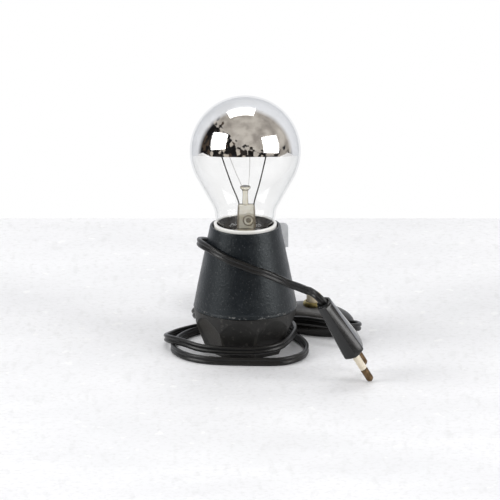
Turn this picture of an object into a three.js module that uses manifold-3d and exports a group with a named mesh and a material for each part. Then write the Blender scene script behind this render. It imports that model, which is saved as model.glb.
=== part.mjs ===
// A small table lamp: a conical black casing on a faceted foot, a porcelain lampholder with a
// crown-silvered bulb, a flat twin cord wound round the foot, an inline push switch and a two-pin plug.
// Millimetres, +Z up. The origin is the centre of the foot's underside, and the front is -Y.
import * as THREE from "three";
import { mergeVertices } from "three/addons/utils/BufferGeometryUtils.js";
import Module from "manifold-3d";

const wasm = await Module();
wasm.setup();

// ---- driving dimensions ----
const gap = 0.3; // clearance between touching pieces
const round = 40; // segments round the large turned pieces
const roundBulb = 36;
const roundSmall = 14; // segments round the small turned pieces

// foot
const footHeight = 24.2;
const footTopRadius = 27.9;
const footBellyRadius = 27.2;
const footBottomRadius = 22;
const footKneeHeight = 8; // where the side swells out
const footKneeSwell = 0.9;
const footBellyHeight = 15;
const footShoulderHeight = 21;
const facetCount = 8;
const facetApothem = 19.6; // from the axis to a facet at the table
const facetSlope = THREE.MathUtils.degToRad(20);
const facetTurn = THREE.MathUtils.degToRad(-8.6); // the first facet, from the front towards +X
const wiringRadius = 15.5; // chamber under the casing
const wiringFloor = 10;
const nutPocketRadius = 9.5;
const nutPocketDepth = 5.5;
const padRadius = 17;
const padThickness = 1;
const cutterReach = 80; // side of the blocks that cut the facets
const exitFacet = 5; // the facet that the cord leaves through, counted from the first

// casing
const casingBottomRadius = 28.2;
const casingTop = 70;
const casingWall = 1.2;
const flangeThickness = 1.2;
const flangeInnerRadius = 17;
const edge = 0.4; // small edge breaks

// clamping parts on the axis
const nippleRadius = 5;
const nippleWall = 1.2;
const plateRadius = 20;
const plateThickness = 1.2;
const nutWidth = 14; // across the flats
const nutThickness = 2.2;
const wireHoleRadius = 3;
const wireHolePlace = 11; // from the axis

// hanging tab behind the casing
const tabWidth = 26.5;
const tabRightEdge = 23.5;
const tabHeight = 15;
const tabHigh = casingTop - 4.5;
const tabLow = tabHigh - tabHeight;
const tabThickness = 0.8;
const rivetRadius = 1.6;
const rivetHead = 0.9; // how far the heads stand out
const tabCorner = 3;

// lampholder
const holderRadius = 17.1;
const holderWall = 1.7;
const holderClearance = 0.8; // round it, where it stands in the casing's mouth
const casingTopRadius = holderRadius + holderClearance + casingWall;
const holderTop = casingTop + 1.4;
const holderFloor = 4.2;
const sleeveWall = 0.9;
const screwRadius = 1.5;
const screwInset = 5.1; // from the holder's side to the middle of a screw
const screwSpacing = 2 * (holderRadius - screwInset);
const screwHead = 1.5;
const screwReach = 2.6; // into the porcelain
const contactRivet = 1.3; // radius
const contactThickness = 0.6;

// bulb
const bulbRadius = 30;
const bulbCentre = holderTop + 40.3;
const neckClearance = 0.8;
const neckThroat = holderRadius - holderWall - neckClearance; // where the neck passes the porcelain ring
const neckSwell = 1.8;
const neckRadius = neckThroat + neckSwell;
const neckShoulder = holderTop + 3.4; // where the neck has its full width
const glassWall = 0.9;
const bowlSteps = 10; // facets from the neck to the top of the bowl
const coneSlope = THREE.MathUtils.degToRad(28.4); // of the neck's cone, from the axis
const coneLow = holderTop + 9.1; // where the neck's cone begins
const collarHigh = holderTop + 6.1; // top of the neck's straight part
const capTop = holderTop - 7.9;
const threadClearance = 1.1; // between the cap's thread and the sleeve
const capRadius = holderRadius - holderWall - gap - sleeveWall - threadClearance;
const capWall = 0.8;
const capSeatRadius = capRadius - 0.7; // of the glass inside the cap
const threadPitch = 3.6;
const threadDepth = 0.7;
const capHeight = 23.5;
const insulatorHeight = 2.6;
const contactHeight = 0.8;
const contactShank = 2.2; // radius
const threadTurns = 5;
const mirrorThickness = 0.5;
const mirrorSide = bulbCentre - 2.4; // height of the silvered edge at the sides
const mirrorTilt = THREE.MathUtils.degToRad(13.7); // the edge is higher at the front
const pinchWidth = 10.5;
const pinchDepth = 4;
const pinchLow = capTop + 4.5;
const pinchHigh = capTop + 18.4;
const pinchShift = 0.55; // of the pinch to the right of the axis
const ventRadius = 1.7;
const ventHeight = capTop + 9.5;
const rodRadius = 1.6;
const buttonLow = capTop + 25.7;
const buttonHigh = capTop + 28.5;
const wireRadius = 0.35;

// cord
const cordSolidRadius = 1.7; // plain round stand-in for the 4.7 by 2.4 flat twin cord
const coilCentre = new THREE.Vector2(0, 77);
const coilOuterRadius = 26;
const coilInnerRadius = 21;
const coilLow = 0.8;
const coilHigh = 10.2;
const tieThickness = 0.5;
const tieWidth = 5;
const exitHeight = 14;
const exitLength = 20;
const exitOutside = 11;
const exitRadius = 3.2;
const exitTipRadius = 2.6;
const exitBore = 2.2;

// switch
const switchCentre = new THREE.Vector2(37.5, 35.5);
const switchTurn = THREE.MathUtils.degToRad(-28);
const switchHalfLength = 23.5;
const switchHalfWidth = 13.5;
const switchLowerHeight = 5.5;
const switchTop = 15;
const switchWall = 1.6;
const cordHoleRadius = 2.6;
const cordHoleHeight = 6.2;
const pushRadius = 4;
const pushTop = 21;
const pushTravel = 2.5;
const collarRadius = 6;
const collarHeight = 1.6;
const blockHigh = 7.2; // top of the switch's inner block
const springRadius = 2.5;

// plug
const pinRadius = 2;
const pinLength = 19;
const pinSleeveLength = 10;
const pinSpacing = 17.5;
const pinRoot = 12; // length of each pin inside the body
const plugLength = 33;
const plugEdge = 3.75; // from the middle of a pin to the plug's narrow side
const plugCover = 3.9; // of plastic over the pins
const plugWidth = pinSpacing + 2 * plugEdge; // at the pins
const plugThickness = 2 * (pinRadius + plugCover);
const plugRidge = pinSpacing / 2 + 0.25; // from the middle to where the narrow sides begin to taper
const plugRearWidth = 13;
const plugRearThickness = 7.8;
const plugBore = 2.5;
const plugBoreDepth = 8;
const pinNeck = 0.8; // how much thinner a pin is under its sleeve
const plugTip = new THREE.Vector3(66.3, -52.6, 2.66); // midway between the two pin tips
const plugAxis = new THREE.Vector3(0.469, 0.279, -0.839).normalize(); // from the rear to the tips
const plugAcross = new THREE.Vector3(-0.17, 0.96, 0.225); // from the near pin to the far pin

const lamp = new THREE.Group();

// ---- helpers ----
function solid(geometry) {
  const bare = geometry.index ? geometry.toNonIndexed() : geometry.clone();
  bare.deleteAttribute("normal");
  bare.deleteAttribute("uv");
  const merged = mergeVertices(bare, 1e-4);
  return new wasm.Manifold(
    new wasm.Mesh({
      numProp: 3,
      vertProperties: merged.attributes.position.array,
      triVerts: new Uint32Array(merged.index.array),
    }),
  );
}

function geometryOf(manifold) {
  const mesh = manifold.getMesh();
  const geometry = new THREE.BufferGeometry();
  geometry.setAttribute("position", new THREE.BufferAttribute(mesh.vertProperties, 3));
  geometry.setIndex(new THREE.BufferAttribute(mesh.triVerts, 1));
  geometry.computeVertexNormals();
  return geometry;
}

function cut(geometry, ...tools) {
  let result = solid(geometry);
  for (const tool of tools) result = result.subtract(solid(tool));
  return geometryOf(result);
}

function join(...pieces) {
  let result = solid(pieces[0]);
  for (const piece of pieces.slice(1)) result = result.add(solid(piece));
  return geometryOf(result);
}

function common(geometry, tool) {
  return geometryOf(solid(geometry).intersect(solid(tool)));
}

// A turned piece about Z from [radius, height] pairs.
function turned(profile, segments = round) {
  const points = profile.map(([radius, height]) => new THREE.Vector2(radius, height));
  return new THREE.LatheGeometry(points, segments).rotateX(Math.PI / 2);
}

function ring(outer, inner, low, high, segments = round) {
  return turned([[inner, low], [outer, low], [outer, high], [inner, high], [inner, low]], segments);
}

function rod(radius, low, high, segments = roundSmall) {
  return turned([[0, low], [radius, low], [radius, high], [0, high]], segments);
}

function box(sizeX, sizeY, low, high) {
  return new THREE.BoxGeometry(sizeX, sizeY, high - low).translate(0, 0, (low + high) / 2);
}

function hexagon(width, low, high) {
  const hex = new THREE.CylinderGeometry(width / Math.sqrt(3), width / Math.sqrt(3), high - low, 6);
  return hex.rotateX(Math.PI / 2).translate(0, 0, (low + high) / 2);
}

// A tube of round section along a smooth line through points.
function tube(points, radius, sides, steps) {
  const section = new THREE.Shape();
  for (let i = 0; i < sides; i += 1) {
    const angle = (2 * Math.PI * i) / sides;
    const x = radius * Math.cos(angle);
    const y = radius * Math.sin(angle);
    if (i === 0) section.moveTo(x, y);
    else section.lineTo(x, y);
  }
  const path = new THREE.CatmullRomCurve3(points, false, "centripetal");
  return new THREE.ExtrudeGeometry(section, { steps, extrudePath: path, bevelEnabled: false });
}

function vectors(points) {
  return points.map(([x, y, z]) => new THREE.Vector3(x, y, z));
}

function add(name, geometry, colour, roughness, metalness, group = lamp) {
  const material = new THREE.MeshStandardMaterial({ color: colour, roughness, metalness });
  const mesh = new THREE.Mesh(geometry, material);
  mesh.name = name;
  group.add(mesh);
  return mesh;
}

// Radius of the casing's outer cone at a height.
function casingRadius(height) {
  const share = (height - footHeight - gap) / (casingTop - footHeight - gap);
  return casingBottomRadius + share * (casingTopRadius - casingBottomRadius);
}

// ---- foot ----
function footBlank() {
  return turned([
    [0, 0],
    [footBottomRadius, 0],
    [(footBottomRadius + footBellyRadius) / 2 + footKneeSwell, footKneeHeight],
    [footBellyRadius, footBellyHeight],
    [(footBellyRadius + footTopRadius) / 2, footShoulderHeight],
    [footTopRadius, footHeight],
    [0, footHeight],
  ]);
}

function facetCutter(index) {
  const angle = facetTurn + (2 * Math.PI * index) / facetCount;
  const block = new THREE.BoxGeometry(cutterReach, cutterReach, cutterReach);
  block.translate(0, -cutterReach / 2, 0);
  block.rotateX(facetSlope).translate(0, -facetApothem, 0);
  return block.rotateZ(angle);
}

function exitDirection() {
  const angle = facetTurn + (2 * Math.PI * exitFacet) / facetCount;
  return new THREE.Vector3(Math.sin(angle), -Math.cos(angle), 0);
}

function alongExit(geometry) {
  const direction = exitDirection();
  return geometry
    .rotateX(-Math.PI / 2)
    .rotateZ(Math.atan2(-direction.x, direction.y))
    .translate(0, 0, exitHeight);
}

function exitFaceRadius() {
  return facetApothem + exitHeight * Math.tan(facetSlope);
}

function makeFoot() {
  const cutters = [];
  for (let i = 0; i < facetCount; i += 1) cutters.push(facetCutter(i));
  const foot = cut(
    footBlank(),
    ...cutters,
    rod(wiringRadius, wiringFloor, footHeight + 1, round),
    rod(nippleRadius + gap, -1, wiringFloor + 1),
    rod(nutPocketRadius, -1, nutPocketDepth, round),
    rod(padRadius + gap, -1, padThickness + gap, round),
    alongExit(rod(exitRadius + gap, wiringRadius - 3, exitFaceRadius() + 5)),
  );
  add("foot", foot, 0x2b2a27, 0.7, 0.1);
  add("foot_pad", rod(padRadius, 0, padThickness, round), 0x3b3a36, 0.95, 0);
}

function makeCordSleeve() {
  const tip = exitFaceRadius() + exitOutside;
  const root = tip - exitLength;
  const face = exitFaceRadius();
  const sleeve = turned(
    [
      [exitBore, root],
      [exitRadius, root],
      [exitRadius, face + 1],
      [exitTipRadius, tip],
      [exitBore, tip],
      [exitBore, root],
    ],
    roundSmall,
  );
  add("cord_sleeve", alongExit(sleeve), 0x1b1b1c, 0.6, 0);
}

// ---- pieces clamped on the axis ----
function makeClamping() {
  const flangeTop = footHeight + gap + flangeThickness;
  const plateLow = flangeTop + gap;
  const plateHigh = plateLow + plateThickness;
  const topNutLow = plateHigh + gap;
  const pocketNutLow = nutPocketDepth - gap - nutThickness;
  const bore = nippleRadius + gap;
  const wireHole = rod(wireHoleRadius, plateLow - 1, plateHigh + 1).translate(0, wireHolePlace, 0);
  const screwHoles = [-1, 1].map((side) =>
    rod(screwRadius + gap, plateLow - 1, plateHigh + 1).translate((side * screwSpacing) / 2, 0, 0),
  );
  const plate = cut(ring(plateRadius, bore, plateLow, plateHigh), wireHole, ...screwHoles);
  add("clamp_plate", plate, 0x9a9c9e, 0.45, 0.9);
  const nippleTop = topNutLow + nutThickness;
  const nipple = ring(nippleRadius, nippleRadius - nippleWall, padThickness + 1, nippleTop, roundSmall);
  add("nipple", nipple, 0xa8925a, 0.4, 0.9);
  const lowerNut = cut(hexagon(nutWidth, pocketNutLow, nutPocketDepth - gap), rod(bore, 0, 40));
  add("foot_nut", lowerNut, 0x8f9194, 0.45, 0.9);
  const upperNut = cut(hexagon(nutWidth, topNutLow, nippleTop), rod(bore, 0, 40));
  add("plate_nut", upperNut, 0x8f9194, 0.45, 0.9);
  return { plateLow, plateHigh, nippleTop };
}

// ---- casing ----
function makeCasing() {
  const low = footHeight + gap;
  const flangeTop = low + flangeThickness;
  const shell = turned([
    [flangeInnerRadius, low],
    [casingBottomRadius - edge, low],
    [casingBottomRadius, low + edge],
    [casingTopRadius, casingTop - edge],
    [casingTopRadius - edge, casingTop],
    [casingTopRadius - casingWall, casingTop],
    [casingRadius(flangeTop) - casingWall, flangeTop],
    [flangeInnerRadius, flangeTop],
    [flangeInnerRadius, low],
  ]);
  const rivetHole = rod(rivetRadius + gap, -5, 5).rotateX(Math.PI / 2 + casingLean());
  rivetHole.translate(0, casingRadius(tabMiddle()), tabMiddle());
  add("casing", cut(shell, rivetHole), 0x30333a, 0.4, 0.3);
}

function tabMiddle() {
  return (tabLow + tabHigh) / 2;
}

// Lean of the casing's wall from the vertical.
function casingLean() {
  return Math.atan2(casingBottomRadius - casingTopRadius, casingTop - footHeight - gap);
}

function makeTab() {
  const corner = tabCorner;
  const left = tabRightEdge - tabWidth;
  const outline = new THREE.Shape();
  outline.moveTo(left, -tabHeight / 2);
  outline.lineTo(tabRightEdge, -tabHeight / 2);
  outline.lineTo(tabRightEdge, tabHeight / 2 - corner);
  outline.absarc(tabRightEdge - corner, tabHeight / 2 - corner, corner, 0, Math.PI / 2, false);
  outline.lineTo(left + corner, tabHeight / 2);
  outline.absarc(left + corner, tabHeight / 2 - corner, corner, Math.PI / 2, Math.PI, false);
  outline.lineTo(left, -tabHeight / 2);
  const plate = new THREE.ExtrudeGeometry(outline, {
    depth: tabThickness,
    bevelEnabled: false,
    curveSegments: 5,
  });
  const hole = rod(rivetRadius + gap, -2, 4);
  const holder = new THREE.Group();
  holder.position.set(0, casingRadius(tabMiddle()) + gap + tabThickness, tabMiddle());
  holder.rotation.set(Math.PI / 2 + casingLean(), 0, 0);
  lamp.add(holder);
  add("hanging_tab", cut(plate, hole), 0xbfc1c3, 0.4, 0.9, holder);
  const inner = tabThickness + gap + casingWall + gap + 0.3;
  const rivet = turned(
    [
      [0, -gap - rivetHead],
      [rivetRadius + rivetHead, -gap - rivetHead / 2],
      [rivetRadius + rivetHead, -gap],
      [rivetRadius, -gap],
      [rivetRadius, inner],
      [rivetRadius + rivetHead, inner],
      [rivetRadius + rivetHead, inner + rivetHead],
      [0, inner + rivetHead],
    ],
    roundSmall,
  );
  add("tab_rivet", rivet, 0x8c8e90, 0.4, 0.9, holder);
}

// ---- lampholder ----
function makeLampholder(stack) {
  const low = stack.nippleTop + gap;
  const floorTop = low + holderFloor;
  const boreRadius = holderRadius - holderWall;
  const body = turned([
    [0, low],
    [holderRadius - 1, low],
    [holderRadius, low + 1],
    [holderRadius, holderTop - 2 * edge],
    [holderRadius - 2 * edge, holderTop],
    [boreRadius + edge, holderTop],
    [boreRadius, holderTop - edge],
    [boreRadius, floorTop],
    [0, floorTop],
  ]);
  const screwHoles = [-1, 1].map((side) =>
    rod(screwRadius + gap, low - 1, low + screwReach + edge).translate((side * screwSpacing) / 2, 0, 0),
  );
  const contactHole = rod(contactRivet + gap, low - 1, floorTop + 1);
  add("lampholder_body", cut(body, contactHole, ...screwHoles), 0xf1efe8, 0.25, 0);
  for (const [name, side] of [["left", -1], ["right", 1]]) {
    const head = rod(screwRadius + 1.2, stack.plateLow - gap - screwHead, stack.plateLow - gap);
    const shank = rod(screwRadius, stack.plateLow - gap - 1, low + screwReach);
    const screw = join(head, shank).translate((side * screwSpacing) / 2, 0, 0);
    add("holder_screw_" + name, screw, 0xa9abad, 0.35, 1);
  }
  const sleeveOuter = boreRadius - gap;
  const sleeve = ring(sleeveOuter, sleeveOuter - sleeveWall, floorTop + 6, capTop - 1.5);
  add("threaded_sleeve", sleeve, 0xb9a062, 0.35, 0.9);
  add("centre_contact", centreContact(low, floorTop), 0xc2a45c, 0.35, 0.9);
  const strip = box(contactThickness, 5, floorTop + gap, floorTop + gap + 5.4);
  add("side_contact", strip.translate(-(sleeveOuter - contactThickness), 0, 0), 0xc2a45c, 0.35, 0.9);
}

// A rivet through the floor with a sprung tongue on top, pressed by the bulb's contact.
function centreContact(low, floorTop) {
  const tongueTop = capTop - capHeight - insulatorHeight - contactHeight - gap;
  const rivet = rod(contactRivet, low + 0.2, floorTop + gap + contactThickness / 2);
  const tongue = box(5, 11, floorTop + gap, floorTop + gap + contactThickness);
  const knob = rod(2.2, floorTop + gap + contactThickness / 2, tongueTop);
  return join(rivet, tongue, knob);
}

// ---- bulb ----
function neckPoints(inset) {
  const tangentRadius = bulbRadius * Math.cos(coneSlope);
  const tangentHeight = bulbCentre - bulbRadius * Math.sin(coneSlope);
  const coneRadius = tangentRadius - (tangentHeight - coneLow) * Math.tan(coneSlope);
  return [
    [capSeatRadius - inset, capTop - 3],
    [capSeatRadius - inset, capTop + 0.5],
    [neckThroat - inset, capTop + 3.5],
    [neckThroat - inset, holderTop],
    [neckRadius - inset, neckShoulder],
    [neckRadius - inset, collarHigh],
    [coneRadius - inset, coneLow],
    [(coneRadius + tangentRadius) / 2 - inset, (coneLow + tangentHeight) / 2],
  ];
}

function bowlPoints(radius) {
  const points = [];
  for (let i = 0; i <= bowlSteps; i += 1) {
    const angle = -coneSlope + ((Math.PI / 2 + coneSlope) * i) / bowlSteps;
    const across = i === bowlSteps ? 0 : radius * Math.cos(angle);
    points.push([across, bulbCentre + radius * Math.sin(angle)]);
  }
  return points;
}

function makeGlass() {
  const outer = [...neckPoints(0), ...bowlPoints(bulbRadius)];
  const inner = [...neckPoints(glassWall), ...bowlPoints(bulbRadius - glassWall)].reverse();
  add("bulb_glass", turned([...outer, ...inner, outer[0]], roundBulb), 0xe8eef2, 0.05, 0);
}

function makeMirror() {
  const outer = bowlPoints(bulbRadius - glassWall - gap);
  const inner = bowlPoints(bulbRadius - glassWall - gap - mirrorThickness).reverse();
  const shell = turned([...outer, ...inner, outer[0]], roundBulb);
  const below = new THREE.BoxGeometry(100, 100, 60).translate(0, 0, -30);
  below.rotateX(-mirrorTilt).translate(0, 0, mirrorSide);
  add("mirror_crown", cut(shell, below), 0xd9dbdd, 0.05, 1);
}

function makeCap() {
  const low = capTop - capHeight;
  const outer = [[capRadius - threadDepth - 0.5, low], [capRadius - threadDepth, low + 0.8]];
  const start = low + 1.6;
  for (let i = 0; i < threadTurns; i += 1) {
    const height = start + i * threadPitch;
    outer.push([capRadius - threadDepth, height]);
    outer.push([capRadius, height + threadPitch / 2]);
  }
  outer.push([capRadius - threadDepth, start + threadTurns * threadPitch]);
  outer.push([capRadius + 0.2, capTop - 1.5]);
  outer.push([capRadius + 0.2, capTop]);
  const inner = [
    [capSeatRadius + gap, capTop],
    [capSeatRadius + gap, capTop - 3.4],
    [capRadius - threadDepth - capWall, capTop - 4],
    [capRadius - threadDepth - capWall - 0.5, low],
  ];
  add("screw_cap", turned([...outer, ...inner, outer[0]], 28), 0xc9cbcc, 0.35, 0.9);
  const insulatorLow = low - insulatorHeight;
  const insulator = turned(
    [
      [contactShank + gap, insulatorLow],
      [5, insulatorLow],
      [capRadius - threadDepth - 0.8, low - gap],
      [contactShank + gap, low - gap],
      [contactShank + gap, insulatorLow],
    ],
    28,
  );
  add("cap_insulator", insulator, 0x17161b, 0.2, 0);
  const contact = join(
    rod(contactShank, insulatorLow - contactHeight, low - 1),
    rod(contactShank + 2, insulatorLow - contactHeight, insulatorLow - gap),
  );
  add("cap_contact", contact, 0xb8b8b4, 0.35, 1);
}

function makeStem() {
  const rim = capSeatRadius - glassWall - gap;
  const flareHigh = pinchLow + 0.8;
  const flare = turned([
    [rim - 0.6, capTop + 0.4],
    [rim, capTop + 0.4],
    [rim, capTop + 1],
    [6.5, capTop + 3.9],
    [3.4, flareHigh],
    [2.2, flareHigh],
    [5.6, capTop + 3.2],
    [rim - 0.6, capTop + 0.4],
  ], 24);
  const pinch = box(pinchWidth, pinchDepth, pinchLow, pinchHigh).translate(pinchShift, 0, 0);
  const vent = rod(ventRadius, -5, 5).rotateX(Math.PI / 2).translate(ventRadius, 0, ventHeight);
  const centre = rod(rodRadius, pinchHigh - 0.5, buttonLow + 0.5, 12);
  const button = rod(rodRadius + 1.2, buttonLow, buttonHigh, 12);
  add("stem", cut(join(flare, pinch, centre, button), vent), 0xdcd2b8, 0.15, 0);
}

function wire(name, points, colour) {
  add(name, tube(vectors(points), wireRadius, 6, points.length * 2), colour, 0.45, 0.8);
}

function makeWires() {
  const top = pinchHigh + gap;
  const middle = bulbCentre;
  const left = [[-3.4, 0, top], [-8, 0.4, middle - 16.7], [-12.6, 0.8, middle - 3.2], [-14, 1, middle + 0.3]];
  wire("lead_wire_left", left, 0x2d2b29);
  const right = [[4.7, 0, top], [7.6, 0.4, middle - 16.7], [10.6, 0.8, middle - 3.4], [12, 1, middle + 0.3]];
  wire("lead_wire_right", right, 0x2d2b29);
  const crown = buttonHigh + gap;
  const leaning = [[-2, 0, crown], [-5.5, 3, middle - 12.7], [-9, 6, middle - 4.7], [-10, 7, middle - 1.2]];
  wire("support_wire_left", leaning, 0x8f8b84);
  const upright = [[1.8, 0.5, crown], [2, 3, middle - 12.7], [2.2, 6, middle - 4.7], [2.4, 8, middle - 1.2]];
  wire("support_wire_right", upright, 0x8f8b84);
  const height = middle + 1.3;
  const nearLeft = [[-14, 1.2, height], [-9.6, 7.4, height], [2.4, 8.6, height]];
  const filament = [...nearLeft, [8.6, 6, height], [12, 1.2, height]];
  wire("filament", filament, 0x6d6a66);
}

// ---- cords ----
const lampCordRoute = [
  [-21.3, 28.9, 14], [-25.7, 34.9, 11.6], [-28.2, 41.4, 7.4], [-26, 48.2, 4.2], [-19.6, 51.8, 2.8],
  [-9.6, 50.8, 2.4],
  [1.5, 46, 2.4], [12, 38.2, 2.4], [20.6, 27.6, 2.4], [26.4, 16, 2.4], [31.4, 4.4, 2.4],
  [33.4, -8, 2.4], [30.4, -22, 2.4], [20.6, -31.4, 2.4], [6.4, -32.6, 2.4], [-22, -29, 2.4],
  [-33, -21, 2.4], [-39.3, -7.6, 2.4], [-37.4, 7, 2.4], [-31, 20, 2.4], [-20.4, 28.9, 2.5],
  [8, 29.2, 6.8], [20.6, 20.8, 9.3], [26.8, 7.6, 9.9], [25.5, -6, 9.4], [18.8, -20, 7.6],
  [6, -26.4, 6.8], [-22.8, -20.6, 6.3], [-34, -11.4, 6.9], [-42.6, 0.6, 5.6], [-42, 13.4, 2.8],
  [-34.2, 24.4, 2.4], [-22, 32.4, 2.4], [8.4, 35.2, 4], [20.6, 27.6, 7.4], [31.6, 18.2, 10.4],
  [42, 10.8, 11.2], [52, 7, 10.4], [58.6, 9.2, 9], [62.2, 15, 7.8], [61.2, 21.2, 6.8], [57, 25.4, 6.2],
];
const plugCordStartRoute = [[16.4, 46.7, 6.2], [13.6, 48.6, 5.6], [11.2, 50.2, 4.8]];
const plugCordEndRoute = [
  [6.8, 49, 10], [3.6, 44.6, 12.6], [2, 39, 17], [1.6, 34.4, 23], [1, 31.2, 30],
  [-1.6, 28.8, 37.6], [-7, 26.4, 45], [-14, 22, 51.6], [-20.6, 14, 56.4], [-24.9, 4.6, 59.6],
  [-24.6, -4, 60.8], [-20, -12.4, 60.4], [-13.9, -19.3, 58.6], [-8.3, -22.6, 56.5], [-2.9, -24.3, 54.8],
  [4, -25.4, 52.3], [11, -28.2, 50.8], [18.4, -34.1, 49.4], [24.3, -40.8, 48.7], [29, -48.4, 49.2],
  [32.8, -56.4, 50.8], [35.6, -63.4, 52.2], [38.8, -66.9, 50.6],
];

function makeCords() {
  const plugCordEnd = vectors(plugCordEndRoute);
  plugCordEnd.push(plugRear().addScaledVector(plugAxis, -gap));
  add("lamp_cord", tube(vectors(lampCordRoute), cordSolidRadius, 8, 66), 0x161617, 0.5, 0);
  add("plug_cord_start", tube(vectors(plugCordStartRoute), cordSolidRadius, 8, 3), 0x161617, 0.5, 0);
  add("plug_cord_end", tube(plugCordEnd, cordSolidRadius, 8, 26), 0x161617, 0.5, 0);
  const coil = ring(coilOuterRadius, coilInnerRadius, coilLow, coilHigh, 40);
  add("cord_coil", coil.translate(coilCentre.x, coilCentre.y, 0), 0x161617, 0.5, 0);
  const inner = coilInnerRadius - gap;
  const outer = coilOuterRadius + gap;
  const middle = (inner + outer) / 2;
  const reach = outer - inner;
  const band = cut(
    box(tieWidth, reach + 2 * tieThickness, 0, coilHigh + gap + tieThickness),
    box(tieWidth + 2, reach, coilLow - gap, coilHigh + gap),
  );
  band.translate(coilCentre.x, coilCentre.y + middle, 0);
  add("coil_tie", band, 0x202021, 0.6, 0);
}

// ---- switch ----
function oval(scale, low, high, segments = 28) {
  const disc = new THREE.CylinderGeometry(1, 1, high - low, segments).rotateX(Math.PI / 2);
  disc.scale(switchHalfLength * scale.x, switchHalfWidth * scale.y, 1);
  return disc.translate(0, 0, (low + high) / 2);
}

function dome(inset) {
  const low = switchLowerHeight + gap;
  const shape = new THREE.SphereGeometry(1, 28, 14).rotateX(Math.PI / 2);
  shape.scale(switchHalfLength - inset, switchHalfWidth - inset, switchTop - low - inset);
  return shape.translate(0, 0, low);
}

function makeSwitch() {
  const body = new THREE.Group();
  body.position.set(switchCentre.x, switchCentre.y, 0);
  body.rotation.z = switchTurn;
  lamp.add(body);
  const full = new THREE.Vector2(1, 1);
  const inside = new THREE.Vector2(
    1 - switchWall / switchHalfLength,
    1 - switchWall / switchHalfWidth,
  );
  const cordHole = rod(cordHoleRadius, -60, 60).rotateY(Math.PI / 2).translate(0, 0, cordHoleHeight);
  const lower = cut(
    oval(full, 0, switchLowerHeight),
    oval(inside, switchWall, switchLowerHeight + 1),
    cordHole,
  );
  add("switch_lower_shell", lower, 0x1d1a18, 0.45, 0, body);
  const upperHalf = box(80, 60, switchLowerHeight + gap, switchTop + 5);
  const upper = cut(
    common(dome(0), upperHalf),
    dome(switchWall),
    rod(pushRadius + gap, 8, 30),
    cordHole,
  );
  add("switch_upper_shell", upper, 0x1d1a18, 0.45, 0, body);
  const collarLow = switchTop - 0.9;
  const collar = cut(
    ring(collarRadius, pushRadius + gap, collarLow, collarLow + collarHeight + 1, 28),
    solidSkin(),
  );
  add("button_collar", collar, 0x6f6238, 0.4, 0.8, body);
  makeSwitchInside(body);
}

// The dome grown by the clearance, to seat what stands on it.
function solidSkin() {
  return dome(-gap);
}

function makeSwitchInside(body) {
  const blockLow = switchWall + gap;
  const post = rod(1.3, blockLow, blockHigh + 3.6);
  const block = join(box(20, 12, blockLow, blockHigh), post);
  add("switch_block", block, 0x4a3a2a, 0.6, 0, body);
  const stemLow = blockHigh + pushTravel + 1.5;
  const skirt = rod(pushRadius, stemLow, pushTop - 0.8);
  const crown = turned([
    [0, pushTop - 0.9],
    [pushRadius, pushTop - 0.9],
    [pushRadius - 2 * edge, pushTop],
    [0, pushTop],
  ]);
  const bore = rod(springRadius + edge, stemLow - 1, stemLow + 3.2);
  add("push_button", cut(join(skirt, crown), bore), 0xe6dcc3, 0.4, 0, body);
  const spring = ring(springRadius, springRadius - 0.8, blockHigh + gap, stemLow + 2.8, roundSmall);
  add("button_spring", spring, 0xb7b9bb, 0.3, 1, body);
  for (const [name, side] of [["left", -1], ["right", 1]]) {
    const strip = box(6, 5, blockHigh + gap, blockHigh + gap + 0.8).translate(side * 6.4, 0, 0);
    add("switch_contact_" + name, strip, 0xc2a45c, 0.35, 0.9, body);
  }
}

// ---- plug ----
// The plug's own frame: Z runs from the rear to the pins, Y from the near pin to the far pin.
function plugFrame() {
  const across = plugAcross.clone().addScaledVector(plugAxis, -plugAcross.dot(plugAxis)).normalize();
  const thick = new THREE.Vector3().crossVectors(across, plugAxis);
  const turn = new THREE.Matrix4().makeBasis(thick, across, plugAxis);
  const frame = new THREE.Group();
  frame.quaternion.setFromRotationMatrix(turn);
  frame.position.copy(plugTip);
  return frame;
}

function plugRear() {
  return plugTip.clone().addScaledVector(plugAxis, -(pinLength + plugLength));
}

function makePlug() {
  const frame = plugFrame();
  lamp.add(frame);
  const outline = new THREE.Shape();
  outline.moveTo(0, -plugWidth / 2);
  outline.lineTo(plugThickness / 2, -plugRidge);
  outline.lineTo(plugThickness / 2, plugRidge);
  outline.lineTo(0, plugWidth / 2);
  outline.lineTo(-plugThickness / 2, plugRidge);
  outline.lineTo(-plugThickness / 2, -plugRidge);
  const body = new THREE.ExtrudeGeometry(outline, { depth: plugLength, bevelEnabled: false, steps: 2 });
  const position = body.getAttribute("position");
  for (let i = 0; i < position.count; i += 1) {
    const share = position.getZ(i) / plugLength;
    const thin = THREE.MathUtils.lerp(plugRearThickness / plugThickness, 1, share);
    const wide = THREE.MathUtils.lerp(plugRearWidth / plugWidth, 1, share);
    position.setX(i, position.getX(i) * thin);
    position.setY(i, position.getY(i) * wide);
  }
  body.translate(0, 0, -pinLength - plugLength);
  const rear = -pinLength - plugLength;
  const holes = [-1, 1].map((side) =>
    rod(pinRadius + gap, -pinLength - pinRoot - gap, -pinLength + 1).translate(0, (side * pinSpacing) / 2, 0),
  );
  const cordBore = rod(plugBore, rear - 1, rear + plugBoreDepth);
  add("plug_body", cut(body, cordBore, ...holes), 0x17181a, 0.35, 0, frame);
  for (const [name, side] of [["near", -1], ["far", 1]]) makePin(name, side, frame);
}

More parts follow.
